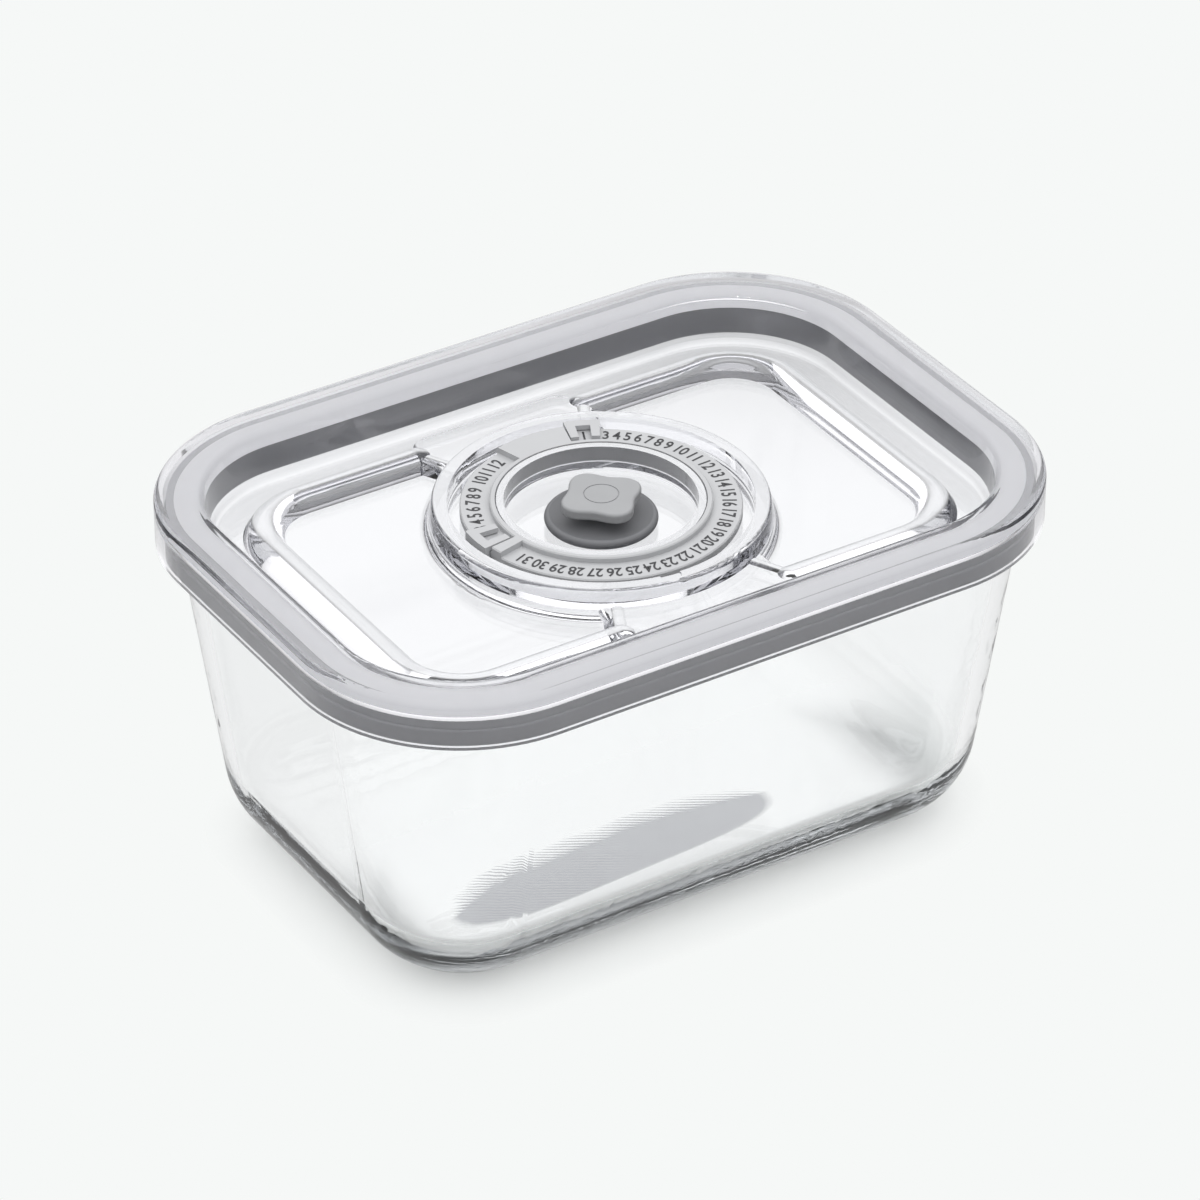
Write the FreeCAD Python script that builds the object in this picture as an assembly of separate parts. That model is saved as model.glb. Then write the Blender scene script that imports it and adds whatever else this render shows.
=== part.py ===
import FreeCAD, Part
import math
import os

# Vacuum seal canister: a tapered glass dish under a clear lid with a date dial and a release valve.
# Millimetres. The origin is on the table under the middle of the dish, X runs along
# the long side and Z points up. Angles are degrees, anticlockwise from +X seen from above.

# Glass dish, with the foot outline taken at the table before its edge is rounded
RIM_LENGTH = 190.5
RIM_WIDTH = 135.6
RIM_CORNER = 38.2
FOOT_LENGTH = 166.2
FOOT_WIDTH = 109.0
FOOT_CORNER = 25.7
DISH_HEIGHT = 89.9
DISH_WALL = 4.0
DISH_BASE = 7.0
BASE_CORNER = 3.2
RIM_ROUND = 1.2

# Silicone gasket, a channel that sits over the dish's rim, with a step round its outer leg
GASKET_WEB = 2.2
GASKET_OUTER_LEG = 2.15
GASKET_INNER_LEG = 1.5
GASKET_OUTER_DROP = 4.6
GASKET_INNER_DROP = 4.4
GASKET_STEP = 0.6
GASKET_STEP_ROUND = 0.5
GASKET_STEP_DROP = 0.5
RIM_GAP = 0.3
GASKET_GAP = 0.3

# Air film where a piece rests on a clear one
FACE_GAP = 0.1

# Clear lid
LID_FLANGE = 4.9
LID_SKIRT = 2.0
SKIRT_HEIGHT = 12.2
LID_WALL = 1.8
PANEL_DEPTH = 13.5
PANEL_THICKNESS = 2.0
LID_EDGE_ROUND = 2.0
PANEL_ROUND = 1.5
BOWL_ROUND = 2.5

# Raised frames round the two pans of the lid's panel
FRAME_TO_WALL = 12.5
FRAME_WIDTH = 10.0
FRAME_HEIGHT = 4.2
FRAME_SLOPE = 58.0
FRAME_NOSE_X = 23.8
FRAME_NECK_WIDTH = 7.0
FRAME_NECK_HEIGHT = 3.3
FRAME_ROOT = 0.5

# Flat raised bridges between the noses of the two frames, front and back
BRIDGE_LENGTH = 46.0
BRIDGE_TO_WALL = 5.6
BRIDGE_HEIGHT = 2.8
BRIDGE_CORNER = 5.0
BRIDGE_ROUND = 1.2

# Round plateau with the dial recess and the pump well
PLATEAU_HEIGHT = 7.1
PLATEAU_RIM = 3.6
PLATEAU_FLARE = 1.5
PLATEAU_ROUND = 1.2
PLATEAU_COVE = 2.0
RECESS_GAP = 1.5
WELL_RADIUS = 23.5
TUBE_WALL = 1.8
NOTCH_ANGLE = 263.5
NOTCH_RADIUS = 2.6
NOTCH_DEPTH = 0.4
NOTCH_OVERLAP = 0.4

# Date ring
RING_GAP = 0.3
RING_RIM = 1.3
RING_RIM_RISE = 0.2
TRACK_WIDTH = 7.2
TRACK_DROP = 1.5
TRACK_THICKNESS = 1.9
RING_EDGE = 0.3
DIVIDER_START = 188.0
DIVIDER_SPAN = 5.3
BLANK_START = 73.6
BLANK_SPAN = 32.0

# Pointers that slide round the date ring
POINTER_SPAN = 14.6
POINTER_WINDOW_SPAN = 6.4
POINTER_THICKNESS = 1.3
POINTER_BRIDGE = 0.9
POINTER_WALL = 1.3
POINTER_LIP = 1.6
POINTER_LIP_HEIGHT = 1.1
POINTER_GAP = 0.3
POINTER_END_GAP = 1.2
POINTER_STOP_GAP = 0.7

# Release valve
SEAT_INNER_RADIUS = 8.5
SEAT_RADIUS = 10.4
SEAT_HEIGHT = 0.6
DISC_RADIUS = 13.8
DISC_HEIGHT = 2.4
DISC_WEB = 0.9
DISC_HOLLOW = 0.7
DISC_DISH = 1.0
HUB_RADIUS = 4.2
HUB_HEIGHT = 4.8
KNOB_HEIGHT = 2.9
KNOB_RADIUS = 9.5
KNOB_LOBE = 1.2
KNOB_LOBES = 4
KNOB_ROUND = 0.8
KNOB_RING_RADIUS = 4.2
KNOB_RING_WIDTH = 0.3
KNOB_RING_DEPTH = 0.2
STEM_RADIUS = 2.5
STEM_FIT = 0.06
VALVE_TRAVEL = 3.0
BULB_RADIUS = 3.6
BULB_TIP_RADIUS = 2.0
BULB_HEIGHT = 2.0
BULB_GAP = 0.3
VENT_COUNT = 4
VENT_RADIUS = 1.1
VENT_CIRCLE = 6.4

# Room that a cutting shape has past the faces it cuts
CUT_MARGIN = 1.0
# Points on the knob's outline for each lobe
LOBE_POINTS = 12
# Two heights nearer than this count as one level
LEVEL_TOLERANCE = 1e-4

# Levels above the table
WEB_BOTTOM = DISH_HEIGHT + FACE_GAP
GASKET_TOP = WEB_BOTTOM + GASKET_WEB
FLANGE_BOTTOM = GASKET_TOP + FACE_GAP
LID_TOP = FLANGE_BOTTOM + LID_FLANGE
PANEL_TOP = LID_TOP - PANEL_DEPTH
PANEL_BOTTOM = PANEL_TOP - PANEL_THICKNESS
SKIRT_BOTTOM = LID_TOP - SKIRT_HEIGHT
PLATEAU_TOP = PANEL_TOP + PLATEAU_HEIGHT
RING_TOP = PLATEAU_TOP + RING_RIM_RISE
TRACK_TOP = RING_TOP - TRACK_DROP
TRACK_BOTTOM = TRACK_TOP - TRACK_THICKNESS
LIP_TOP = TRACK_BOTTOM - POINTER_GAP
LIP_BOTTOM = LIP_TOP - POINTER_LIP_HEIGHT
RECESS_FLOOR = LIP_BOTTOM - POINTER_GAP
RING_BOTTOM = RECESS_FLOOR + FACE_GAP
SEAT_BOTTOM = PANEL_TOP + FACE_GAP
SEAT_TOP = SEAT_BOTTOM + SEAT_HEIGHT
KNOB_BOTTOM = SEAT_TOP + HUB_HEIGHT
KNOB_TOP = KNOB_BOTTOM + KNOB_HEIGHT

# Radii round the dial's axis
TUBE_RADIUS = WELL_RADIUS + TUBE_WALL
RING_BORE = TUBE_RADIUS + RING_GAP
TRACK_INNER_RADIUS = RING_BORE + RING_RIM
TRACK_RADIUS = TRACK_INNER_RADIUS + TRACK_WIDTH
POINTER_WALL_INNER = TRACK_RADIUS + POINTER_GAP
POINTER_WALL_OUTER = POINTER_WALL_INNER + POINTER_WALL
RECESS_RADIUS = POINTER_WALL_OUTER + RECESS_GAP
PLATEAU_TOP_RADIUS = RECESS_RADIUS + PLATEAU_RIM
PLATEAU_FOOT_RADIUS = PLATEAU_TOP_RADIUS + PLATEAU_FLARE

# Rest angles of the pointers, against the blank sector and the divider bar
DAY_ANGLE = BLANK_START - POINTER_STOP_GAP - POINTER_SPAN / 2
MONTH_ANGLE = DIVIDER_START - POINTER_STOP_GAP - POINTER_SPAN / 2

# Rounds at the foot of the dish's outside and inside
FOOT_ROUND = FOOT_CORNER - BASE_CORNER
BASIN_ROUND = FOOT_ROUND - (DISH_WALL + DISH_BASE) / 2

# Insets from the dish's outline; the lid's skirt and the gasket's outer leg lie outside it
OUTER_LEG_INNER = -RIM_GAP
OUTER_LEG_OUTER = OUTER_LEG_INNER - GASKET_OUTER_LEG
SKIRT_INNER = OUTER_LEG_OUTER - GASKET_GAP
SKIRT_OUTER = SKIRT_INNER - LID_SKIRT
INNER_LEG_OUTER = DISH_WALL + RIM_GAP
INNER_LEG_INNER = INNER_LEG_OUTER + GASKET_INNER_LEG
BOWL_OUTER = INNER_LEG_INNER + GASKET_GAP
BOWL_INNER = BOWL_OUTER + LID_WALL


def vector(x, y, z):
    """Point or direction."""
    return FreeCAD.Vector(x, y, z)


def dish_outline(z, inset=0.0):
    """Half length, half width and corner radius of the dish at a height, drawn in by an inset."""
    share = z / DISH_HEIGHT
    half_x = (FOOT_LENGTH + (RIM_LENGTH - FOOT_LENGTH) * share) / 2 - inset
    half_y = (FOOT_WIDTH + (RIM_WIDTH - FOOT_WIDTH) * share) / 2 - inset
    corner = FOOT_CORNER + (RIM_CORNER - FOOT_CORNER) * share - inset
    return half_x, half_y, corner


def corner_arc(x, y, radius, z, start):
    """Quarter arc about (x, y) that starts at an angle and runs anticlockwise."""
    points = []
    for turn in (0, 45, 90):
        angle = math.radians(start + turn)
        points.append(vector(x + radius * math.cos(angle), y + radius * math.sin(angle), z))
    return Part.Arc(*points).toShape()


def outline_wire(outline, z):
    """Closed wire of a rounded rectangle at a height."""
    half_x, half_y, corner = outline
    x = half_x - corner
    y = half_y - corner
    arcs = [corner_arc(x, y, corner, z, 0), corner_arc(-x, y, corner, z, 90),
            corner_arc(-x, -y, corner, z, 180), corner_arc(x, -y, corner, z, 270)]
    edges = []
    for arc, following in zip(arcs, arcs[1:] + arcs[:1]):
        arc_end = arc.valueAt(arc.LastParameter)
        next_start = following.valueAt(following.FirstParameter)
        edges += [arc, Part.makeLine(arc_end, next_start)]
    return Part.Wire(edges)


def straight_block(inset, bottom, top):
    """Upright block with the rim's outline drawn in by an inset."""
    base = Part.Face(outline_wire(dish_outline(DISH_HEIGHT, inset), bottom))
    return base.extrude(vector(0, 0, top - bottom))


def leaning_block(inset, bottom, top):
    """Block whose sides lean with the dish's wall, drawn in by an inset."""
    wires = [outline_wire(dish_outline(z, inset), z) for z in (bottom, top)]
    return Part.makeLoft(wires, True, True)


def turned(points, start=0.0, span=360.0):
    """Solid turned from a closed (radius, height) outline, from a start angle over a span."""
    corners = [vector(r, 0, z) for r, z in points]
    face = Part.Face(Part.makePolygon(corners + corners[:1]))
    solid = face.revolve(vector(0, 0, 0), vector(0, 0, 1), span)
    solid.rotate(vector(0, 0, 0), vector(0, 0, 1), start)
    return solid


def turned_block(inner, outer, bottom, top, start=0.0, span=360.0):
    """Ring, or a sector of one, with an upright rectangular section."""
    return turned([(inner, bottom), (outer, bottom), (outer, top), (inner, top)], start, span)


def level_edges(shape, z):
    """Edges of a shape that lie level at a height."""
    edges = []
    for edge in shape.Edges:
        box = edge.BoundBox
        if max(abs(box.ZMin - z), abs(box.ZMax - z)) < LEVEL_TOLERANCE:
            edges.append(edge)
    return edges


def glass_container():
    """Tapered dish with a rounded foot, a thick base and a flat rim with rounded edges."""
    body = leaning_block(0, 0, DISH_HEIGHT)
    body = body.makeFillet(FOOT_ROUND, level_edges(body, 0))
    basin = leaning_block(DISH_WALL, DISH_BASE, DISH_HEIGHT + CUT_MARGIN)
    basin = basin.makeFillet(BASIN_ROUND, level_edges(basin, DISH_BASE))
    dish = body.cut(basin)
    return dish.makeFillet(RIM_ROUND, level_edges(dish, DISH_HEIGHT))


def lid_gasket():
    """Channel over the dish's rim, with the lower part of its outer leg stepped out."""
    outer_bottom = DISH_HEIGHT - GASKET_OUTER_DROP
    inner_bottom = DISH_HEIGHT - GASKET_INNER_DROP
    step_top = DISH_HEIGHT - GASKET_STEP_DROP
    upper = straight_block(OUTER_LEG_OUTER + GASKET_STEP, outer_bottom, GASKET_TOP)
    lower = straight_block(OUTER_LEG_OUTER, outer_bottom, step_top)
    lower = lower.makeFillet(GASKET_STEP_ROUND, level_edges(lower, step_top))
    rim_room = straight_block(OUTER_LEG_INNER, outer_bottom - CUT_MARGIN, WEB_BOTTOM)
    inner_leg = leaning_block(INNER_LEG_OUTER, inner_bottom, GASKET_TOP)
    middle = leaning_block(INNER_LEG_INNER, inner_bottom - CUT_MARGIN, GASKET_TOP + CUT_MARGIN)
    return upper.fuse(lower).cut(rim_room).fuse(inner_leg).cut(middle).removeSplitter()


def frame_flank(width, height):
    """Edges from a frame's crest down its +Y flank to the foot of its root, in the YZ plane.

    The crest is an arc that runs tangent into a straight flank at the frame's slope.
    """
    slope = math.radians(FRAME_SLOPE)
    foot = width / 2
    radius = (foot * math.tan(slope) - height) * math.cos(slope) / (1 - math.cos(slope))
    centre = PANEL_TOP + height - radius

    def on_crest(angle):
        return vector(0, radius * math.sin(angle), centre + radius * math.cos(angle))

    crest = Part.Arc(on_crest(0), on_crest(slope / 2), on_crest(slope)).toShape()
    toe = vector(0, foot, PANEL_TOP)
    root = vector(0, foot, PANEL_TOP - FRAME_ROOT)
    return [crest, Part.makeLine(on_crest(slope), toe), Part.makeLine(toe, root)]


def frame_face(width, height):
    """Section of a frame in the YZ plane, on both sides of Y = 0."""
    flank = frame_flank(width, height)
    other = [edge.mirror(vector(0, 0, 0), vector(0, 1, 0)) for edge in flank]
    level = PANEL_TOP - FRAME_ROOT
    floor = Part.makeLine(vector(0, width / 2, level), vector(0, -width / 2, level))
    return Part.Face(Part.Wire(Part.sortEdges(flank + [floor] + other)[0]))


def frame_nose():
    """Round end of a frame about the Z axis, on the side towards -X."""
    axis_foot = vector(0, 0, PANEL_TOP - FRAME_ROOT)
    axis = Part.makeLine(axis_foot, vector(0, 0, PANEL_TOP + FRAME_HEIGHT))
    floor = Part.makeLine(vector(0, FRAME_WIDTH / 2, PANEL_TOP - FRAME_ROOT), axis_foot)
    face = Part.Face(Part.Wire(frame_flank(FRAME_WIDTH, FRAME_HEIGHT) + [floor, axis]))
    return face.revolve(vector(0, 0, 0), vector(0, 0, 1), 180)


def panel_outline(inset):
    """Outline on the lid's panel, drawn in from the foot of its wall by an inset."""
    return dish_outline(PANEL_TOP, BOWL_INNER + inset)


def frame_path():
    """Centre line of the right pan's frame, from its back nose round to its front nose."""
    half_x, half_y, corner = panel_outline(FRAME_TO_WALL)
    x = half_x - corner
    y = half_y - corner
    back = corner_arc(x, y, corner, 0, 0)
    front = corner_arc(x, -y, corner, 0, 270)
    start = vector(FRAME_NOSE_X, half_y, 0)
    end = vector(FRAME_NOSE_X, -half_y, 0)
    return Part.Wire([Part.makeLine(start, vector(x, half_y, 0)), back,
                      Part.makeLine(vector(half_x, y, 0), vector(half_x, -y, 0)), front,
                      Part.makeLine(vector(x, -half_y, 0), end)])


def frame_side():
    """The right pan's frame with a round nose at each end."""
    half_y = panel_outline(FRAME_TO_WALL)[1]
    section = frame_face(FRAME_WIDTH, FRAME_HEIGHT)
    section.translate(vector(FRAME_NOSE_X, half_y, 0))
    frame = frame_path().makePipe(section)
    for y in (half_y, -half_y):
        nose = frame_nose()
        nose.translate(vector(FRAME_NOSE_X, y, 0))
        frame = frame.fuse(nose)
    return frame


def frame_necks():
    """Short ridges that join the noses of the right pan's frame to the plateau."""
    half_y = panel_outline(FRAME_TO_WALL)[1]
    reach = math.hypot(FRAME_NOSE_X, half_y)
    bearing = math.degrees(math.atan2(half_y, FRAME_NOSE_X))
    section = frame_face(FRAME_NECK_WIDTH, FRAME_NECK_HEIGHT)
    section.translate(vector(PLATEAU_TOP_RADIUS, 0, 0))
    necks = []
    for angle in (bearing, -bearing):
        neck = section.extrude(vector(reach - PLATEAU_TOP_RADIUS, 0, 0))
        neck.rotate(vector(0, 0, 0), vector(0, 0, 1), angle)
        necks.append(neck)
    return necks


def bridge():
    """Flat land across the panel's middle that shows between the noses at the front and the back."""
    half_y = panel_outline(BRIDGE_TO_WALL)[1]
    outline = outline_wire((BRIDGE_LENGTH / 2, half_y, BRIDGE_CORNER), PANEL_TOP - FRAME_ROOT)
    land = Part.Face(outline).extrude(vector(0, 0, FRAME_ROOT + BRIDGE_HEIGHT))
    return land.makeFillet(BRIDGE_ROUND, level_edges(land, PANEL_TOP + BRIDGE_HEIGHT))


def both_sides(shape):
    """A shape of the right half and its mirror image on the left."""
    return [shape, shape.mirror(vector(0, 0, 0), vector(1, 0, 0))]


def lid_bowl():
    """Flange, skirt and sunk flat panel of the lid."""
    cap = straight_block(SKIRT_OUTER, SKIRT_BOTTOM, LID_TOP)
    cap = cap.cut(straight_block(SKIRT_INNER, SKIRT_BOTTOM - CUT_MARGIN, FLANGE_BOTTOM))
    bowl = leaning_block(BOWL_OUTER, PANEL_BOTTOM, LID_TOP - LID_FLANGE / 2)
    bowl = bowl.makeFillet(BOWL_ROUND, level_edges(bowl, PANEL_BOTTOM))
    sunk = leaning_block(BOWL_INNER, PANEL_TOP, LID_TOP + CUT_MARGIN)
    sunk = sunk.makeFillet(PANEL_ROUND, level_edges(sunk, PANEL_TOP))
    lid = cap.fuse(bowl).cut(sunk)
    return lid.makeFillet(LID_EDGE_ROUND, level_edges(lid, LID_TOP))


def plateau():
    """Round plateau with a cove round its foot, before the dial recess and the pump well are cut."""
    slope = math.hypot(PLATEAU_FLARE, PLATEAU_HEIGHT)
    half_bend = math.acos(-PLATEAU_FLARE / slope) / 2
    reach = PLATEAU_COVE / math.tan(half_bend)
    hollow = PLATEAU_COVE / math.sin(half_bend) - PLATEAU_COVE
    cove_end = PLATEAU_FOOT_RADIUS + reach
    bottom = -FRAME_ROOT

    def at(radius, rise):
        return vector(radius, 0, PANEL_TOP + rise)

    cove_top = at(PLATEAU_FOOT_RADIUS - reach * PLATEAU_FLARE / slope, reach * PLATEAU_HEIGHT / slope)
    cove_middle = at(PLATEAU_FOOT_RADIUS + hollow * math.cos(half_bend), hollow * math.sin(half_bend))
    cove = Part.Arc(at(cove_end, 0), cove_middle, cove_top).toShape()
    corners = [cove_top, at(PLATEAU_TOP_RADIUS, PLATEAU_HEIGHT), at(0, PLATEAU_HEIGHT),
               at(0, bottom), at(cove_end, bottom), at(cove_end, 0)]
    lines = [Part.makeLine(a, b) for a, b in zip(corners, corners[1:])]
    body = Part.Face(Part.Wire([cove] + lines)).revolve(vector(0, 0, 0), vector(0, 0, 1), 360)
    return body.makeFillet(PLATEAU_ROUND, level_edges(body, PLATEAU_TOP))


def plateau_cuts():
    """Dial recess, pump well, hollow underneath, fingernail notch, stem hole and vents."""
    top = PLATEAU_TOP + CUT_MARGIN
    recess = turned_block(TUBE_RADIUS, RECESS_RADIUS, RECESS_FLOOR, top)
    well = Part.makeCylinder(WELL_RADIUS, top - PANEL_TOP, vector(0, 0, PANEL_TOP))
    below = PANEL_BOTTOM - CUT_MARGIN
    hollow = turned_block(TUBE_RADIUS, RECESS_RADIUS, below, RECESS_FLOOR - PANEL_THICKNESS)
    notch = Part.makeCylinder(NOTCH_RADIUS, NOTCH_DEPTH + CUT_MARGIN,
                              vector(RECESS_RADIUS + NOTCH_OVERLAP, 0, PLATEAU_TOP - NOTCH_DEPTH))
    notch.rotate(vector(0, 0, 0), vector(0, 0, 1), NOTCH_ANGLE)
    depth = PANEL_THICKNESS + 2 * CUT_MARGIN
    stem_hole = Part.makeCylinder(STEM_RADIUS + STEM_FIT, depth, vector(0, 0, below))
    cuts = [recess, well, hollow, notch, stem_hole]
    for index in range(VENT_COUNT):
        vent = Part.makeCylinder(VENT_RADIUS, depth, vector(VENT_CIRCLE, 0, below))
        vent.rotate(vector(0, 0, 0), vector(0, 0, 1), 360 * (index + 0.5) / VENT_COUNT)
        cuts.append(vent)
    return cuts


def lid_shell():
    """Clear one-piece lid."""
    raised = [plateau(), bridge()]
    raised += both_sides(frame_side())
    for neck in frame_necks():
        raised += both_sides(neck)
    lid = lid_bowl().fuse(raised)
    return lid.cut(plateau_cuts()).removeSplitter()


def date_ring():
    """Ring with a raised inner rim, a numbered track, a divider bar and a blank raised sector."""
    ring = turned([(RING_BORE, RING_BOTTOM), (TRACK_INNER_RADIUS, RING_BOTTOM),
                   (TRACK_INNER_RADIUS, TRACK_BOTTOM), (TRACK_RADIUS, TRACK_BOTTOM),
                   (TRACK_RADIUS, TRACK_TOP - RING_EDGE), (TRACK_RADIUS - RING_EDGE, TRACK_TOP),
                   (TRACK_INNER_RADIUS, TRACK_TOP), (TRACK_INNER_RADIUS, RING_TOP - RING_EDGE),
                   (TRACK_INNER_RADIUS - RING_EDGE, RING_TOP), (RING_BORE, RING_TOP)])
    bar_inner = RING_BORE + RING_EDGE
    bar_bottom = TRACK_BOTTOM + RING_EDGE
    bar = [(bar_inner, bar_bottom), (TRACK_RADIUS, bar_bottom), (TRACK_RADIUS, RING_TOP - RING_EDGE),
           (TRACK_RADIUS - RING_EDGE, RING_TOP), (bar_inner, RING_TOP)]
    for start, span in ((DIVIDER_START, DIVIDER_SPAN), (BLANK_START, BLANK_SPAN)):
        ring = ring.fuse(turned(bar, start, span))
    return ring.removeSplitter()


def pointer(angle):
    """Window frame over the track with a wall outside the ring and a lip hooked under it."""
    bottom = TRACK_TOP + POINTER_GAP
    top = bottom + POINTER_THICKNESS
    leg_end = TRACK_INNER_RADIUS + POINTER_END_GAP
    lip_end = POINTER_WALL_INNER - POINTER_LIP
    body = turned([(leg_end, bottom), (POINTER_WALL_INNER, bottom), (POINTER_WALL_INNER, LIP_TOP),
                   (lip_end, LIP_TOP), (lip_end, LIP_BOTTOM), (POINTER_WALL_OUTER, LIP_BOTTOM),
                   (POINTER_WALL_OUTER, top), (leg_end, top)],
                  angle - POINTER_SPAN / 2, POINTER_SPAN)
    window = turned_block(leg_end - CUT_MARGIN, TRACK_RADIUS - POINTER_BRIDGE, bottom - POINTER_GAP / 2,
                          top + CUT_MARGIN, angle - POINTER_WINDOW_SPAN / 2, POINTER_WINDOW_SPAN)
    return body.cut(window)


def day_pointer():
    """Pointer resting at day 1, beside the blank sector."""
    return pointer(DAY_ANGLE)


def month_pointer():
    """Pointer resting at month 1, beside the divider bar."""
    return pointer(MONTH_ANGLE)


def valve_seat():
    """Low ring on the well floor, outside the vents."""
    return turned_block(SEAT_INNER_RADIUS, SEAT_RADIUS, SEAT_BOTTOM, SEAT_TOP)


def valve_disc():
    """Saucer with a thick rounded rim and a hub that fills the space up to the knob."""
    bore = STEM_RADIUS + STEM_FIT
    rim_top = SEAT_TOP + DISC_HEIGHT
    rim_middle = SEAT_TOP + DISC_HEIGHT / 2
    rim_centre = DISC_RADIUS - DISC_HEIGHT / 2
    web_bottom = SEAT_TOP + DISC_HOLLOW
    web_top = web_bottom + DISC_WEB
    dish_middle = (rim_centre + HUB_RADIUS) / 2
    dish_end = web_top + DISC_DISH

    def at(radius, z):
        return vector(radius, 0, z)

    rim = Part.Arc(at(rim_centre, SEAT_TOP), at(DISC_RADIUS, rim_middle), at(rim_centre, rim_top))
    dish = Part.Arc(at(rim_centre, rim_top), at(dish_middle, web_top), at(HUB_RADIUS, dish_end))
    outline = [at(HUB_RADIUS, dish_end), at(HUB_RADIUS, KNOB_BOTTOM), at(bore, KNOB_BOTTOM),
               at(bore, web_bottom), at(SEAT_INNER_RADIUS - DISC_HOLLOW, web_bottom),
               at(SEAT_INNER_RADIUS, SEAT_TOP), at(rim_centre, SEAT_TOP)]
    lines = [Part.makeLine(a, b) for a, b in zip(outline, outline[1:])]
    face = Part.Face(Part.Wire([rim.toShape(), dish.toShape()] + lines))
    return face.revolve(vector(0, 0, 0), vector(0, 0, 1), 360)


def knob_outline(z):
    """Closed lobed curve: the radius swells by KNOB_LOBE at each lobe."""
    count = KNOB_LOBES * LOBE_POINTS
    points = []
    for index in range(count):
        angle = 2 * math.pi * index / count
        radius = KNOB_RADIUS + KNOB_LOBE * math.cos(KNOB_LOBES * angle)
        points.append(vector(radius * math.cos(angle), radius * math.sin(angle), z))
    curve = Part.BSplineCurve()
    curve.interpolate(points, PeriodicFlag=True)
    return Part.Wire(curve.toShape())


def valve_knob():
    """Lobed pull knob with a ring mark, a stem through the lid and a bulb that keeps it there."""
    head = Part.Face(knob_outline(KNOB_BOTTOM)).extrude(vector(0, 0, KNOB_HEIGHT))
    head = head.makeFillet(KNOB_ROUND, level_edges(head, KNOB_TOP) + level_edges(head, KNOB_BOTTOM))
    mark = turned_block(KNOB_RING_RADIUS - KNOB_RING_WIDTH / 2, KNOB_RING_RADIUS + KNOB_RING_WIDTH / 2,
                        KNOB_TOP - KNOB_RING_DEPTH, KNOB_TOP + CUT_MARGIN)
    bulb_top = PANEL_BOTTOM - VALVE_TRAVEL - BULB_GAP
    bulb_bottom = bulb_top - BULB_HEIGHT
    stem = turned([(0, bulb_bottom), (BULB_TIP_RADIUS, bulb_bottom), (BULB_RADIUS, bulb_top),
                   (STEM_RADIUS, bulb_top), (STEM_RADIUS, KNOB_BOTTOM + KNOB_HEIGHT / 2),
                   (0, KNOB_BOTTOM + KNOB_HEIGHT / 2)])
    return head.cut(mark).fuse(stem).removeSplitter()


SUB_PARTS = (glass_container, lid_shell, lid_gasket, date_ring, day_pointer, month_pointer,
             valve_seat, valve_disc, valve_knob)

os.makedirs("parts", exist_ok=True)
for sub_part in SUB_PARTS:
    shape = sub_part()
    shape.exportStep(os.path.join("parts", sub_part.__name__ + ".step"))
    print(sub_part.__name__, "valid", shape.isValid(), "solids", len(shape.Solids))
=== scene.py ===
import math

import bpy
import numpy as np
from mathutils import Matrix, Vector


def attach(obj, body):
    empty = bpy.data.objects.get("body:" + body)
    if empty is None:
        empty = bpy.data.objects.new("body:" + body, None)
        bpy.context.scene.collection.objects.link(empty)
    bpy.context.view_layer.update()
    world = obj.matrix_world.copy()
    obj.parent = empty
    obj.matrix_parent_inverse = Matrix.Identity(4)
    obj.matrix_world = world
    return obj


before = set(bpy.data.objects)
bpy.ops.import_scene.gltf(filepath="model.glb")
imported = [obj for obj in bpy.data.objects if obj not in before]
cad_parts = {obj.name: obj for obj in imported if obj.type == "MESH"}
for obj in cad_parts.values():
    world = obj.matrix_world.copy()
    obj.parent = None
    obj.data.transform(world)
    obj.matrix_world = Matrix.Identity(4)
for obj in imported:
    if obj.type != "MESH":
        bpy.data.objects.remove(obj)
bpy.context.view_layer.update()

# Vacuum seal canister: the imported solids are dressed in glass, clear plastic and silicone,
# and the date dial gets its printed numerals. Metres, in the part's own frame.

MM = 0.001
WHITE = (1, 1, 1, 1)

# The photograph's view: a long lens that looks down on the near left corner
CAMERA_AZIMUTH = -32.32
CAMERA_ELEVATION = 33.19
CAMERA_DISTANCE = 1536 * MM
CAMERA_ACROSS = -0.3 * MM
CAMERA_RISE = 51.52 * MM
CAMERA_LENS_MM = 185.7
CAMERA_SENSOR_MM = 36.0

# Studio: a soft sky and a pale backdrop, with one wide soft light behind the part
BACKDROP_COLOUR = "F5F8F7"
SKY_HORIZON = 0.03
SKY_ZENITH = 2.0
BACK_LIGHT = 0.3
BACK_LIGHT_AZIMUTH = 148.0
BACK_LIGHT_ELEVATION = 35.0
BACK_LIGHT_CORE = 18.0
BACK_LIGHT_EDGE = 38.0
LIGHT_BOUNCES = 32

# Studio floor: a pale sheet just under the part, so that the glass never shares a face with it
FLOOR_DROP = 0.3 * MM
FLOOR_RADIUS = 4.0
FLOOR_RINGS = 24
FLOOR_STEPS = 96
FLOOR_COLOUR = "F6F8F7"
FLOOR_SHADED = "F0F2F1"
FLOOR_BOUNCE = "5C5D5D"

# The floor's glow in the clear pieces: full near the part, weaker far off and where it is mirrored
GLOW_NEAR = 150 * MM
GLOW_FAR = 320 * MM
GLOW_FAR_LEVEL = 0.4
GLOW_MIRRORED = 0.6

# The dish's foot in plan, as it would be without the large round under its edge
FOOT_HALF_LENGTH = 83.1 * MM
FOOT_HALF_WIDTH = 54.5 * MM
FOOT_CORNER = 25.7 * MM

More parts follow.
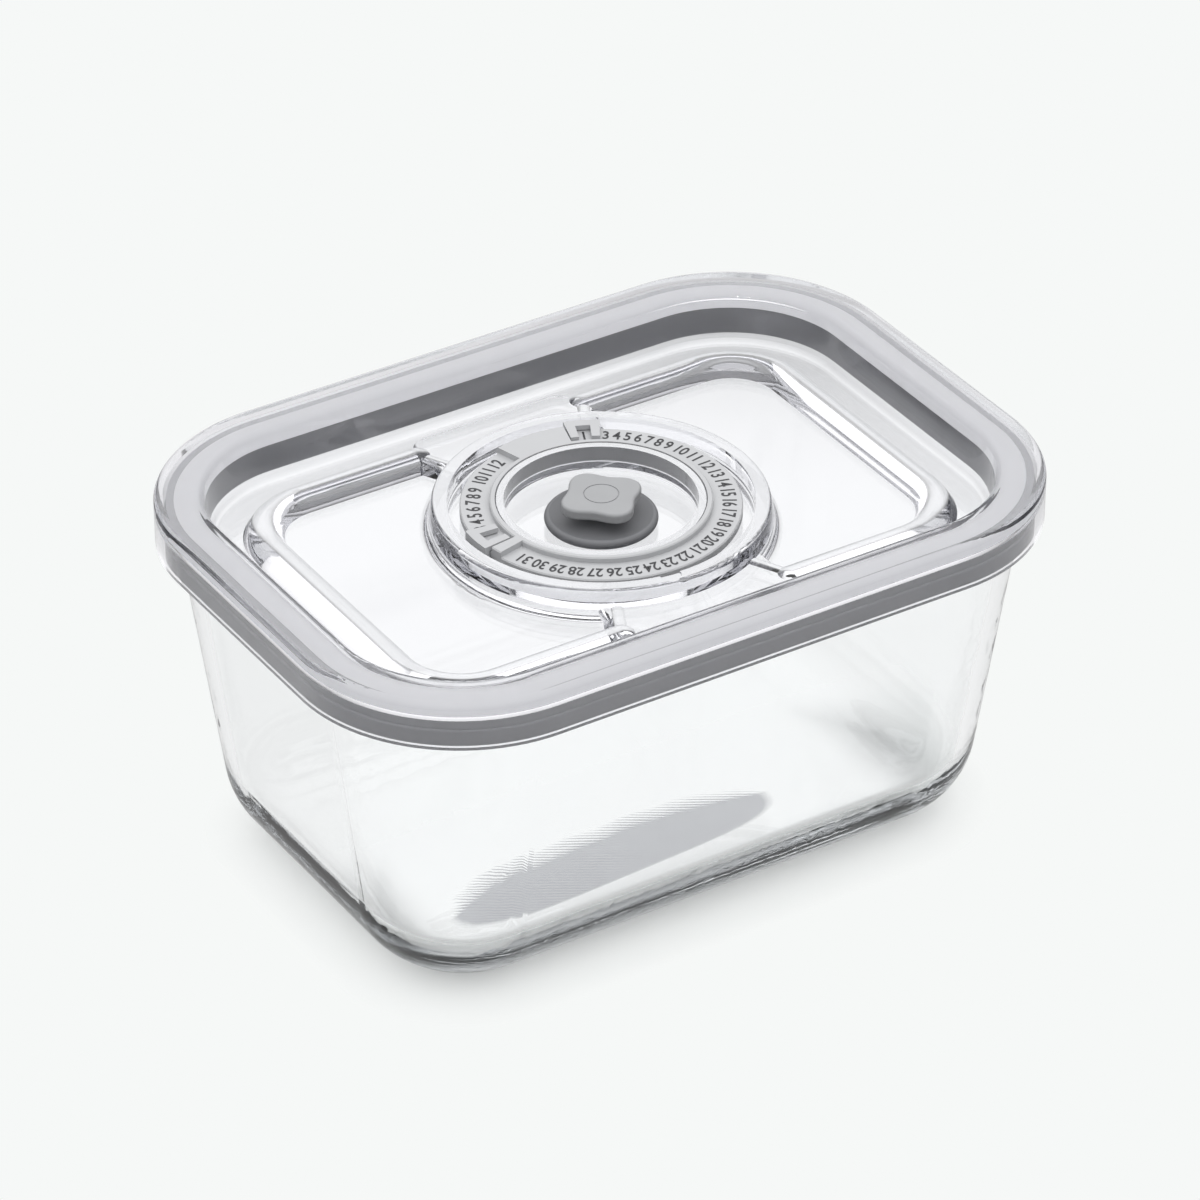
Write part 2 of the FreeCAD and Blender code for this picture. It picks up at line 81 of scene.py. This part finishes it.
# Shade on the floor: distances from the foot's outline, and two places in Y. The camera sees the contact
# shadow, and the glass sees a rim that is darkest at the outline and lighter outside it, further under
# the dish and towards the back.
SHADOW_START = -19 * MM
SHADOW_END = 8.5 * MM
RIM_LEVEL = 0.02
RIM_OUTSIDE = 18 * MM
RIM_UNDER = 27 * MM
RIM_FRONT_Y = -25 * MM
RIM_BACK_Y = 15 * MM

# How many finer layers a noise pattern has
DETAIL_SLOW = 1.0
DETAIL_FINE = 2.0
DETAIL_CLOUD = 3.0

# Pressed glass: its tint, what its depth soaks up, and the slow waves that the mould leaves
GLASS_TINT = "FDFEFE"
GLASS_DEPTH_TINT = "D6D8DA"
GLASS_DEPTH_DENSITY = 16.0
GLASS_IOR = 1.52
GLASS_WAVE_MM = 30
GLASS_WAVE_STRENGTH = 0.3
GLASS_WAVE_RELIEF = 0.03 * MM

# Where the press left tool marks on the basin's floor, and a painted shadow greys the glass over the same
# patch:
# straight in front, ragged and combed behind.
# The comb's two ends and the fade are shares of the patch's half size.
PAINTED_SHADOW_TINT = "8E8F95"
TOOLED_CENTRE = (-13.5 * MM, -22.0 * MM, 7 * MM)
TOOLED_HALF = (44 * MM, 11 * MM, 2 * MM)
TOOLED_SKEW = 3.0
TOOLED_TURN = -58.0
TOOLED_PITCH_MM = 1.1
TOOLED_WANDER = 4.0
TOOLED_WANDER_SCALE = 0.12
TOOLED_FRINGE = 0.9
TOOLED_RAGGED = 0.7
TOOLED_BLOT_MM = 16
TOOLED_COMB_START = -0.2
TOOLED_COMB_FULL = 0.6
TOOLED_FADE = 0.15
TOOLED_STRENGTH = 1.0
TOOLED_RELIEF = 0.04 * MM

# Clear plastic: its tint, what its depth soaks up, and the waves left by its flow into the mould
PLASTIC_TINT = "FAFAFC"
PLASTIC_DEPTH_TINT = "B8B9C0"
PLASTIC_DEPTH_DENSITY = 21.0
PLASTIC_IOR = 1.54
PLASTIC_FLOW_MM = 20
PLASTIC_FLOW_STRENGTH = 0.2
PLASTIC_FLOW_RELIEF = 0.05 * MM

# Grey silicone and plastic: a dark and a light tone each, then roughness, grain width and relief in mm.
# The real grain is finer than the render can show, so it is drawn about this coarse.
GASKET_TONES = ("AEAFB2", "B6B7B9")
# The contact film's silicone is painted near white, far lighter than the gasket: painted light on the
# gasket's top.
CONTACT_PAINTED_LIGHT_TONES = ("F5F6F8", "FAFAFC")
DIAL_TONES = ("B0B1B3", "B8B9BB")
KNOB_TONES = ("969799", "A0A1A3")
# The valve's disc and seat are painted darker than the knob: painted shade under the knob and in its well.
DISC_PAINTED_SHADE_TONES = ("6A6B6E", "747578")
GASKET_GRAIN = (0.45, 0.5, 0.02)
DIAL_GRAIN = (0.42, 0.4, 0.015)
VALVE_GRAIN = (0.55, 0.4, 0.02)
GREY_CLOUD_MM = 9
GREY_SHEEN_SPREAD = 0.06
GREY_GRAIN_STRENGTH = 0.5
GREY_IOR = 1.45

# Where the gasket's silicone wets the underside of the lid's flange: half length, half width and corner
CONTACT_LEVEL = 92.32 * MM
CONTACT_INNER = (89.5 * MM, 62.05 * MM, 32.45 * MM)
CONTACT_OUTER = (95.2 * MM, 67.75 * MM, 38.15 * MM)
CONTACT_STEPS = 24

# Date dial: where the track lies, its ink, and how its numerals are set round it in degrees
TRACK_TOP = 89.5 * MM
INK_LIFT = 0.06 * MM
INK_TONES = ("1E1E21", "333337")
INK_SPOT_MM = 0.6
INK_ROUGHNESS = 0.5
NUMERAL_RADIUS = 30.9 * MM
NUMERAL_HEIGHT = 3.6 * MM
NUMERAL_CONDENSE = 0.78
NUMERAL_BOLD = 0.017
TWO_FIGURES = 10
LAST_DAY = 31
LAST_MONTH = 12
DAY_START = 65.6
DAY_UNIT_STEP = -5.0
DAY_TEN = 18.7
DAY_END = -158.7
MONTH_START = 180.0
MONTH_UNIT_STEP = -5.35
MONTH_TEN = 128.8
MONTH_END = 113.6

# Blender's wave texture runs through this many radians a unit
WAVE_TEXTURE_RATE = 20


def linear(code):
    """Linear red, green, blue and alpha of an sRGB hex colour."""
    channels = [int(code[i:i + 2], 16) / 255 for i in (0, 2, 4)]
    return [c / 12.92 if c <= 0.04045 else ((c + 0.055) / 1.055) ** 2.4 for c in channels] + [1.0]


def add(tree, kind, inputs=None, **settings):
    """Add a node: settings are its own properties, inputs are values or sockets by input name or number."""
    node = tree.nodes.new(kind)
    for name, value in settings.items():
        setattr(node, name, value)
    for name, value in (inputs or {}).items():
        if isinstance(value, bpy.types.NodeSocket):
            tree.links.new(value, node.inputs[name])
        else:
            node.inputs[name].default_value = value
    return node


def new_material(name):
    """Empty node material; returns it with its tree."""
    material = bpy.data.materials.new(name)
    material.use_nodes = True
    material.node_tree.nodes.clear()
    return material, material.node_tree


def finish_material(tree, shader, volume=None):
    """Send a shader, and what fills the body where there is something, to the material's output."""
    output = add(tree, "ShaderNodeOutputMaterial", {"Surface": shader})
    if volume:
        tree.links.new(volume, output.inputs["Volume"])


def per_metre(millimetres):
    """Texture scale on Object coordinates for a pattern whose features are this wide."""
    return 1 / (millimetres * MM)


def wave_scale(millimetres):
    """Wave texture scale on Object coordinates for bands this far apart: a band is 2 pi of its radians."""
    return per_metre(millimetres) * 2 * math.pi / WAVE_TEXTURE_RATE


def pressed_glass():
    """Soda-lime glass pressed in a mould: clear and glossy, greyer along its thick edges.

    The mould leaves a faint slow waviness on the walls and fine tool marks across the basin's floor,
    and a painted shadow greys the glass's colour over the same patch. Both lie where the length of
    (x x, y y, z z), in shares of the patch's half size, is under one.
    """
    material, tree = new_material("pressed_soda_lime_glass")
    place = add(tree, "ShaderNodeTexCoord").outputs["Object"]
    waves = add(tree, "ShaderNodeTexNoise",
                {"Vector": place, "Scale": per_metre(GLASS_WAVE_MM), "Detail": DETAIL_SLOW})
    wavy = add(tree, "ShaderNodeBump",
               {"Height": waves.outputs["Fac"], "Strength": GLASS_WAVE_STRENGTH,
                "Distance": GLASS_WAVE_RELIEF})
    patch = add(tree, "ShaderNodeMapping",
                {"Vector": place, "Location": TOOLED_CENTRE, "Scale": TOOLED_HALF,
                 "Rotation": (0, 0, math.radians(TOOLED_SKEW))}, vector_type="TEXTURE")
    inside = patch.outputs["Vector"]
    squared = add(tree, "ShaderNodeVectorMath", {0: inside, 1: inside}, operation="MULTIPLY")
    reach = add(tree, "ShaderNodeVectorMath", {0: squared.outputs["Vector"]}, operation="LENGTH")
    behind = add(tree, "ShaderNodeSeparateXYZ", {"Vector": inside}).outputs["Y"]
    edge = add(tree, "ShaderNodeMapRange",
               {"Value": behind, "From Min": TOOLED_COMB_START, "From Max": TOOLED_COMB_FULL})
    across = add(tree, "ShaderNodeMapping",
                 {"Vector": place, "Rotation": (0, 0, math.radians(TOOLED_TURN))})
    marks = add(tree, "ShaderNodeTexWave",
                {"Vector": across.outputs["Vector"], "Scale": wave_scale(TOOLED_PITCH_MM),
                 "Distortion": TOOLED_WANDER, "Detail": DETAIL_SLOW, "Detail Scale": TOOLED_WANDER_SCALE})
    blots = add(tree, "ShaderNodeTexNoise",
                {"Vector": place, "Scale": per_metre(TOOLED_BLOT_MM), "Detail": DETAIL_SLOW})
    ragged = add(tree, "ShaderNodeMath", {0: blots.outputs["Fac"], 1: TOOLED_RAGGED}, operation="MULTIPLY")
    rough = add(tree, "ShaderNodeMath",
                {0: marks.outputs["Fac"], 1: TOOLED_FRINGE, 2: ragged.outputs["Value"]},
                operation="MULTIPLY_ADD")
    comb = add(tree, "ShaderNodeMath",
               {0: rough.outputs["Value"], 1: edge.outputs["Result"], 2: reach.outputs["Value"]},
               operation="MULTIPLY_ADD")
    painted_shadow_and_marks = add(tree, "ShaderNodeMapRange",
                 {"Value": comb.outputs["Value"], "From Min": 1.0, "From Max": 1.0 + TOOLED_FADE,
                  "To Min": 1.0, "To Max": 0.0})
    # Painted shadow: the glass's colour turns grey over the patch, where the tool marks also lie
    tint = add(tree, "ShaderNodeMix",
               {"Factor": painted_shadow_and_marks.outputs["Result"], "A": linear(GLASS_TINT), "B": linear(PAINTED_SHADOW_TINT)},
               data_type="RGBA")
    ridges = add(tree, "ShaderNodeMath", {0: marks.outputs["Fac"], 1: painted_shadow_and_marks.outputs["Result"]},
                 operation="MULTIPLY")
    bump = add(tree, "ShaderNodeBump",
               {"Height": ridges.outputs["Value"], "Strength": TOOLED_STRENGTH, "Distance": TOOLED_RELIEF,
                "Normal": wavy.outputs["Normal"]})
    shader = add(tree, "ShaderNodeBsdfPrincipled",
                 {"Base Color": tint.outputs["Result"], "Roughness": 0.0, "IOR": GLASS_IOR,
                  "Transmission Weight": 1.0, "Normal": bump.outputs["Normal"]})
    depth = add(tree, "ShaderNodeVolumeAbsorption",
                {"Color": linear(GLASS_DEPTH_TINT), "Density": GLASS_DEPTH_DENSITY})
    finish_material(tree, shader.outputs["BSDF"], depth.outputs["Volume"])
    return material


def clear_plastic():
    """Moulded clear copolyester: glossy, and cool grey where it is thick or seen edge on.

    Its flow into the mould leaves a faint waviness.
    """
    material, tree = new_material("clear_moulded_copolyester")
    place = add(tree, "ShaderNodeTexCoord").outputs["Object"]
    flow = add(tree, "ShaderNodeTexNoise",
               {"Vector": place, "Scale": per_metre(PLASTIC_FLOW_MM), "Detail": DETAIL_SLOW})
    bump = add(tree, "ShaderNodeBump",
               {"Height": flow.outputs["Fac"], "Strength": PLASTIC_FLOW_STRENGTH,
                "Distance": PLASTIC_FLOW_RELIEF})
    shader = add(tree, "ShaderNodeBsdfPrincipled",
                 {"Base Color": linear(PLASTIC_TINT), "Roughness": 0.0, "IOR": PLASTIC_IOR,
                  "Transmission Weight": 1.0, "Normal": bump.outputs["Normal"]})
    depth = add(tree, "ShaderNodeVolumeAbsorption",
                {"Color": linear(PLASTIC_DEPTH_TINT), "Density": PLASTIC_DEPTH_DENSITY})
    finish_material(tree, shader.outputs["BSDF"], depth.outputs["Volume"])
    return material


def soft_grey(name, tones, grain):
    """Grey moulded silicone or plastic: slow clouds of two tones, and a fine grain that breaks the gloss."""
    roughness, width_mm, relief_mm = grain
    material, tree = new_material(name)
    place = add(tree, "ShaderNodeTexCoord").outputs["Object"]
    pores = add(tree, "ShaderNodeTexNoise",
                {"Vector": place, "Scale": per_metre(width_mm), "Detail": DETAIL_FINE})
    cloud = add(tree, "ShaderNodeTexNoise",
                {"Vector": place, "Scale": per_metre(GREY_CLOUD_MM), "Detail": DETAIL_CLOUD})
    tone = add(tree, "ShaderNodeMix",
               {"Factor": cloud.outputs["Fac"], "A": linear(tones[0]), "B": linear(tones[1])},
               data_type="RGBA")
    sheen = add(tree, "ShaderNodeMapRange",
                {"Value": pores.outputs["Fac"], "To Min": roughness - GREY_SHEEN_SPREAD,
                 "To Max": roughness + GREY_SHEEN_SPREAD})
    bump = add(tree, "ShaderNodeBump",
               {"Height": pores.outputs["Fac"], "Strength": GREY_GRAIN_STRENGTH, "Distance": relief_mm * MM})
    shader = add(tree, "ShaderNodeBsdfPrincipled",
                 {"Base Color": tone.outputs["Result"], "Roughness": sheen.outputs["Result"],
                  "IOR": GREY_IOR, "Normal": bump.outputs["Normal"]})
    finish_material(tree, shader.outputs["BSDF"])
    return material


def printed_ink():
    """Pad-printed dark grey ink, satin, with slight thin spots."""
    material, tree = new_material("pad_printed_ink")
    place = add(tree, "ShaderNodeTexCoord").outputs["Object"]
    spots = add(tree, "ShaderNodeTexNoise",
                {"Vector": place, "Scale": per_metre(INK_SPOT_MM), "Detail": DETAIL_FINE})
    tone = add(tree, "ShaderNodeMix",
               {"Factor": spots.outputs["Fac"], "A": linear(INK_TONES[0]), "B": linear(INK_TONES[1])},
               data_type="RGBA")
    shader = add(tree, "ShaderNodeBsdfPrincipled",
                 {"Base Color": tone.outputs["Result"], "Roughness": INK_ROUGHNESS})
    finish_material(tree, shader.outputs["BSDF"])
    return material


def foot_distance(tree, place):
    """Distance of a floor point from the foot's core: the length of max(|p| - core, 0).

    It equals the foot's corner radius all along the foot's outline.
    """
    core = (FOOT_HALF_LENGTH - FOOT_CORNER, FOOT_HALF_WIDTH - FOOT_CORNER, FLOOR_DROP)
    side = add(tree, "ShaderNodeVectorMath", {0: place}, operation="ABSOLUTE")
    past = add(tree, "ShaderNodeVectorMath", {0: side.outputs["Vector"], 1: core}, operation="SUBTRACT")
    out = add(tree, "ShaderNodeVectorMath", {0: past.outputs["Vector"], 1: (0, 0, 0)}, operation="MAXIMUM")
    return add(tree, "ShaderNodeVectorMath", {0: out.outputs["Vector"]}, operation="LENGTH").outputs["Value"]


def rim_shade(tree, place, gap):
    """Share of the floor's glow that the glass sees, which is least along the front of the foot."""
    outside = add(tree, "ShaderNodeMapRange",
                  {"Value": gap, "From Min": FOOT_CORNER, "From Max": FOOT_CORNER + RIM_OUTSIDE,
                   "To Min": RIM_LEVEL, "To Max": 1.0})
    under = add(tree, "ShaderNodeMapRange",
                {"Value": gap, "From Min": FOOT_CORNER, "From Max": FOOT_CORNER - RIM_UNDER,
                 "To Min": RIM_LEVEL, "To Max": 1.0}, interpolation_type="SMOOTHSTEP")
    depth = add(tree, "ShaderNodeSeparateXYZ", {"Vector": place}).outputs["Y"]
    behind = add(tree, "ShaderNodeMapRange",
                 {"Value": depth, "From Min": RIM_FRONT_Y, "From Max": RIM_BACK_Y},
                 interpolation_type="SMOOTHSTEP")
    inner = add(tree, "ShaderNodeMath", {0: under.outputs["Result"], 1: behind.outputs["Result"]},
                operation="MAXIMUM")
    shade = add(tree, "ShaderNodeMath", {0: outside.outputs["Result"], 1: inner.outputs["Value"]},
                operation="MAXIMUM")
    return shade.outputs["Value"]


def studio_floor():
    """Pale seamless paper with an even glow of its own, so that only the shadow close to the part shows.

    Glass and gloss see the glow fade away from the part, and the paper throws little light up.
    """
    material, tree = new_material("seamless_paper")
    path = add(tree, "ShaderNodeLightPath")
    place = add(tree, "ShaderNodeTexCoord").outputs["Object"]
    camera = path.outputs["Is Camera Ray"]
    sharp = path.outputs["Is Glossy Ray"]
    seen = add(tree, "ShaderNodeMath", {0: camera, 1: sharp}, operation="MAXIMUM").outputs["Value"]
    mirrored = add(tree, "ShaderNodeMath", {0: sharp, 1: path.outputs["Is Transmission Ray"]},
                   operation="SUBTRACT")
    gap = foot_distance(tree, place)
    shadow = add(tree, "ShaderNodeMapRange",
                 {"Value": gap, "From Min": FOOT_CORNER + SHADOW_START,
                  "From Max": FOOT_CORNER + SHADOW_END})
    share = add(tree, "ShaderNodeMix",
                {"Factor": camera, "A": rim_shade(tree, place, gap), "B": shadow.outputs["Result"]})
    glowing = add(tree, "ShaderNodeMath", {0: share.outputs["Result"], 1: seen}, operation="MULTIPLY")
    away = add(tree, "ShaderNodeVectorMath", {0: place}, operation="LENGTH").outputs["Value"]
    fade = add(tree, "ShaderNodeMapRange",
               {"Value": away, "From Min": GLOW_NEAR, "From Max": GLOW_FAR,
                "To Min": 1.0, "To Max": GLOW_FAR_LEVEL}, interpolation_type="SMOOTHSTEP")
    gloss = add(tree, "ShaderNodeMix",
                {"Factor": mirrored.outputs["Value"], "A": fade.outputs["Result"], "B": GLOW_MIRRORED})
    level = add(tree, "ShaderNodeMix", {"Factor": camera, "A": gloss.outputs["Result"], "B": 1.0})
    tone = add(tree, "ShaderNodeMix",
               {"Factor": seen, "A": linear(FLOOR_BOUNCE), "B": linear(FLOOR_SHADED)}, data_type="RGBA")
    paper = add(tree, "ShaderNodeBsdfDiffuse", {"Color": tone.outputs["Result"]})
    pale = add(tree, "ShaderNodeMix", {"Factor": sharp, "A": linear(FLOOR_COLOUR), "B": WHITE},
               data_type="RGBA")
    glow = add(tree, "ShaderNodeEmission",
               {"Color": pale.outputs["Result"], "Strength": level.outputs["Result"]})
    both = add(tree, "ShaderNodeMixShader",
               {0: glowing.outputs["Value"], 1: paper.outputs["BSDF"], 2: glow.outputs["Emission"]})
    finish_material(tree, both.outputs["Shader"])
    return material


def polar_disc(radius, rings, steps, z):
    """Flat disc with one centre point.

    A point is (s r cos a, s r sin a, z) for shares s of the radius r and angles a.
    """
    shares = np.linspace(0, 1, rings + 1)[1:, None]
    angles = np.linspace(0, 2 * np.pi, steps, endpoint=False)[None, :]
    grid = np.stack([radius * shares * np.cos(angles), radius * shares * np.sin(angles),
                     np.full((rings, steps), z)], -1).reshape(-1, 3)
    points = np.vstack([[[0, 0, z]], grid])
    index = 1 + np.arange(rings * steps).reshape(rings, steps)
    ahead = np.roll(index, -1, 1)
    quads = np.stack([index[:-1], index[1:], ahead[1:], ahead[:-1]], -1).reshape(-1, 4)
    fan = np.stack([np.zeros(steps, int), index[0], ahead[0]], -1)
    return points, quads.tolist() + fan.tolist()


def new_piece(name, points, faces, material):
    """Mesh object at the origin from points and faces."""
    mesh = bpy.data.meshes.new(name)
    mesh.from_pydata(points.tolist(), [], faces)
    mesh.materials.append(material)
    piece = bpy.data.objects.new(name, mesh)
    bpy.context.scene.collection.objects.link(piece)
    return piece


def rounded_outline(half_length, half_width, corner, steps):
    """Points round a rounded rectangle.

    A point is its corner's centre plus corner (cos a, sin a), for angles a through that corner's quarter.
    """
    points = []
    for quarter in range(4):
        angles = np.linspace(0, np.pi / 2, steps) + quarter * np.pi / 2
        sign_x = 1 if quarter in (0, 3) else -1
        sign_y = 1 if quarter in (0, 1) else -1
        points.append(np.stack([sign_x * (half_length - corner) + corner * np.cos(angles),
                                sign_y * (half_width - corner) + corner * np.sin(angles)], -1))
    return np.vstack(points)


def contact_film(material):
    """Flat ring at one level between two rounded outlines.

    Silicone clings to the plastic there, so that no air is left to mirror the sky. Its colour is painted
    near white, far lighter than the gasket's silicone: painted light on the gasket's top.
    """
    inner = rounded_outline(*CONTACT_INNER, CONTACT_STEPS)
    outer = rounded_outline(*CONTACT_OUTER, CONTACT_STEPS)
    count = len(inner)
    flat = np.vstack([inner, outer])
    points = np.hstack([flat, np.full((2 * count, 1), CONTACT_LEVEL)])
    index = np.arange(count)
    ahead = np.roll(index, -1)
    faces = np.stack([index, index + count, ahead + count, ahead], -1)
    piece = new_piece("gasket_contact", points, faces.tolist(), material)
    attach(piece, "lid")


def numeral_mesh(text):
    """Points and triangles of one numeral, flat on Z = 0 about the origin and one unit tall."""
    curve = bpy.data.curves.new("numeral", "FONT")
    curve.body = text
    curve.align_x = "CENTER"
    curve.offset = NUMERAL_BOLD
    holder = bpy.data.objects.new("numeral", curve)
    mesh = bpy.data.meshes.new_from_object(holder)
    points = np.zeros(len(mesh.vertices) * 3)
    mesh.vertices.foreach_get("co", points)
    points = points.reshape(-1, 3)
    corners = np.zeros(len(mesh.loops), int)
    mesh.loops.foreach_get("vertex_index", corners)
    low = points[:, 1].min()
    tall = points[:, 1].max() - low
    points[:, 1] = (points[:, 1] - low) / tall - 0.5
    points[:, 0] = NUMERAL_CONDENSE * points[:, 0] / tall
    bpy.data.objects.remove(holder)
    bpy.data.meshes.remove(mesh)
    bpy.data.curves.remove(curve)
    return points, corners.reshape(-1, 3)


def dial_angles():
    """Label and angle of each numeral: single figures close together, then two figures evenly to the end."""
    labels = []
    for number in range(1, TWO_FIGURES):
        labels.append((str(number), DAY_START + DAY_UNIT_STEP * (number - 1)))
        labels.append((str(number), MONTH_START + MONTH_UNIT_STEP * (number - 1)))
    for ten, end, last in ((DAY_TEN, DAY_END, LAST_DAY), (MONTH_TEN, MONTH_END, LAST_MONTH)):
        numbers = range(TWO_FIGURES, last + 1)
        angles = np.linspace(ten, end, len(numbers))
        labels += [(str(number), angle) for number, angle in zip(numbers, angles)]
    return labels


def dial_numerals(material):
    """All the dial's numerals as one piece of ink.

    Each is turned with its top outward and set at the track's middle: a point is (R + h y) out + h x along,
    for the numeral's own x and y, its height h, the track's radius R, and unit vectors out and along it.
    """
    points = []
    faces = []
    count = 0
    for text, angle in dial_angles():
        flat, triangles = numeral_mesh(text)
        turn = math.radians(angle)
        out = np.array([math.cos(turn), math.sin(turn)])
        along = np.array([math.sin(turn), -math.cos(turn)])
        radial = NUMERAL_RADIUS + NUMERAL_HEIGHT * flat[:, 1:2]
        place = radial * out + NUMERAL_HEIGHT * flat[:, 0:1] * along
        points.append(np.hstack([place, np.full((len(flat), 1), TRACK_TOP + INK_LIFT)]))
        faces.append(count + triangles)
        count += len(flat)
    piece = new_piece("dial_numerals", np.vstack(points), np.vstack(faces).tolist(), material)
    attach(piece, "lid")


def set_material(node, material):
    """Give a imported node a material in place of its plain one."""
    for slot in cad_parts[node].material_slots:
        slot.material = material


def direction(azimuth, elevation):
    """Unit vector from the part towards an azimuth, seen as the camera's is, and an elevation."""
    turn = math.radians(azimuth)
    rise = math.radians(elevation)
    return Vector((math.sin(turn) * math.cos(rise), -math.cos(turn) * math.cos(rise), math.sin(rise)))


def studio_world():
    """Soft sky, bright above and dark at the horizon, with a wide soft light behind.

    The camera sees a pale backdrop instead.
    """
    world = bpy.data.worlds.new("studio")
    bpy.context.scene.world = world
    world.use_nodes = True
    tree = world.node_tree
    tree.nodes.clear()
    path = add(tree, "ShaderNodeLightPath")
    ray = add(tree, "ShaderNodeTexCoord").outputs["Generated"]
    height = add(tree, "ShaderNodeSeparateXYZ", {"Vector": ray}).outputs["Z"]
    sky = add(tree, "ShaderNodeMapRange",
              {"Value": height, "From Min": 0.0, "From Max": 1.0,
               "To Min": SKY_HORIZON, "To Max": SKY_ZENITH})
    towards = direction(BACK_LIGHT_AZIMUTH, BACK_LIGHT_ELEVATION)
    facing = add(tree, "ShaderNodeVectorMath", {0: ray, 1: towards}, operation="DOT_PRODUCT")
    lamp = add(tree, "ShaderNodeMapRange",
               {"Value": facing.outputs["Value"],
                "From Min": math.cos(math.radians(BACK_LIGHT_EDGE)),
                "From Max": math.cos(math.radians(BACK_LIGHT_CORE)),
                "To Min": 0.0, "To Max": BACK_LIGHT}, interpolation_type="SMOOTHSTEP")
    level = add(tree, "ShaderNodeMath", {0: sky.outputs["Result"], 1: lamp.outputs["Result"]},
                operation="ADD")
    light = add(tree, "ShaderNodeBackground", {"Color": WHITE, "Strength": level.outputs["Value"]})
    backdrop = add(tree, "ShaderNodeBackground", {"Color": linear(BACKDROP_COLOUR), "Strength": 1.0})
    both = add(tree, "ShaderNodeMixShader",
               {0: path.outputs["Is Camera Ray"], 1: light.outputs["Background"],
                2: backdrop.outputs["Background"]})
    add(tree, "ShaderNodeOutputWorld", {"Surface": both.outputs["Shader"]})


def photograph_camera():
    """Camera at the photograph's viewing angle, from an azimuth, an elevation and a distance to the part."""
    azimuth = math.radians(CAMERA_AZIMUTH)
    back = direction(CAMERA_AZIMUTH, CAMERA_ELEVATION)
    right = Vector((math.cos(azimuth), math.sin(azimuth), 0))
    up = back.cross(right)
    data = bpy.data.cameras.new("photograph_camera")
    data.sensor_width = CAMERA_SENSOR_MM
    data.lens = CAMERA_LENS_MM
    camera = bpy.data.objects.new("photograph_camera", data)
    bpy.context.scene.collection.objects.link(camera)
    turn = Matrix((right, up, back)).transposed().to_4x4()
    stand = right * CAMERA_ACROSS + up * CAMERA_RISE + back * CAMERA_DISTANCE
    camera.matrix_world = Matrix.Translation(stand) @ turn
    bpy.context.scene.camera = camera


def dress_part():
    """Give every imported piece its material, and add the contact film and the dial's numerals."""
    set_material("glass_container", pressed_glass())
    set_material("lid_shell", clear_plastic())
    set_material("lid_gasket", soft_grey("grey_silicone_gasket", GASKET_TONES, GASKET_GRAIN))
    dial = soft_grey("grey_moulded_abs", DIAL_TONES, DIAL_GRAIN)
    for node in ("date_ring", "day_pointer", "month_pointer"):
        set_material(node, dial)
    set_material("valve_knob", soft_grey("grey_silicone_valve", KNOB_TONES, VALVE_GRAIN))
    # The disc and seat get a darker copy of the valve's silicone: painted shade under the knob and in its
    # well
    disc = soft_grey("grey_silicone_disc_painted_shade", DISC_PAINTED_SHADE_TONES, VALVE_GRAIN)
    for node in ("valve_seat", "valve_disc"):
        set_material(node, disc)
    # The contact film gets a near-white copy of the gasket's silicone: painted light on the gasket's top
    contact_film(soft_grey("grey_silicone_contact_painted_light", CONTACT_PAINTED_LIGHT_TONES, GASKET_GRAIN))
    dial_numerals(printed_ink())


def set_up_studio():
    """Lay the floor, light the part, place the camera and let light pass through many clear walls."""
    points, faces = polar_disc(FLOOR_RADIUS, FLOOR_RINGS, FLOOR_STEPS, -FLOOR_DROP)
    new_piece("floor", points, faces, studio_floor())
    studio_world()
    photograph_camera()
    scene = bpy.context.scene
    scene.view_settings.view_transform = "Standard"
    scene.cycles.max_bounces = LIGHT_BOUNCES
    scene.cycles.transmission_bounces = LIGHT_BOUNCES
    scene.cycles.glossy_bounces = LIGHT_BOUNCES


dress_part()
set_up_studio()
